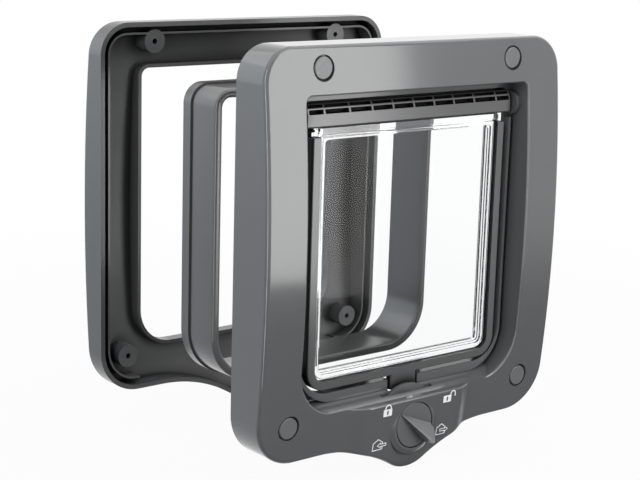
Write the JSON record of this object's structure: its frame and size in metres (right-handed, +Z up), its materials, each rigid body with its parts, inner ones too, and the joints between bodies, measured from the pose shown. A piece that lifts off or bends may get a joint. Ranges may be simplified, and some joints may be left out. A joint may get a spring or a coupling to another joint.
{
  "type": "cat flap",
  "caption": "Cat flap for a door: bulged room-side frame, clear swinging flap under a ribbed hinge rail, turning lock, tunnel through the door and outer frame, set out apart.",
  "frame": {"origin": "midway between the two upper fixing holes, on the plane where the room-side frame meets the door", "axes": "+X across to the right as seen from the room, +Y from the room through the door to the outside, +Z up"},
  "size_m": [0.211, 0.1881, 0.2387],
  "materials": {
    "frame_grey": "semi-gloss moulded grey",
    "cap_grey": "semi-gloss moulded grey",
    "flap_grey": "semi-gloss moulded grey",
    "clear": "clear polished plastic",
    "lock_grey": "semi-gloss moulded grey",
    "steel": "plain zinc plate",
    "tunnel_grey": "semi-gloss moulded grey",
    "outer_grey": "satin moulded grey inside, semi-gloss outside",
    "print_white": "white pad print"
  },
  "bodies": {
    "frame": {"inner_frame": "frame_grey", "screw_cap_ul": "cap_grey", "screw_cap_ur": "cap_grey", "screw_cap_ll": "cap_grey", "screw_cap_lr": "cap_grey", "mark_locked": "print_white", "mark_open": "print_white", "mark_in_only": "print_white", "mark_out_only": "print_white"},
    "flap": {"hinge_rail": "flap_grey", "flap_rim": "flap_grey", "flap_pane": "clear", "hinge_pin_l": "flap_grey", "hinge_pin_r": "flap_grey"},
    "lock": {"lock_knob": "lock_grey", "lock_rotor": "lock_grey", "lock_screw": "steel", "lock_washer": "steel"},
    "tunnel": {"tunnel": "tunnel_grey"},
    "outer": {"outer_frame": "outer_grey"}
  },
  "joints": [
    {"name": "flap_swing", "type": "hinge", "parent": "frame", "child": "flap", "pos_m": [0, -0.0135, -0.0265], "axis": [1, 0, 0], "range_deg": [0, 80]},
    {"name": "lock_turn", "type": "hinge", "parent": "frame", "child": "lock", "pos_m": [0, -0.02, -0.201], "axis": [0, -1, 0], "continuous": true},
    {"name": "tunnel_slide", "type": "slide", "parent": "frame", "child": "tunnel", "axis": [0, 1, 0], "range_m": [-0.045, 0]},
    {"name": "outer_slide", "type": "slide", "parent": "tunnel", "child": "outer", "axis": [0, 1, 0], "range_m": [-0.0569, 0]}
  ]
}
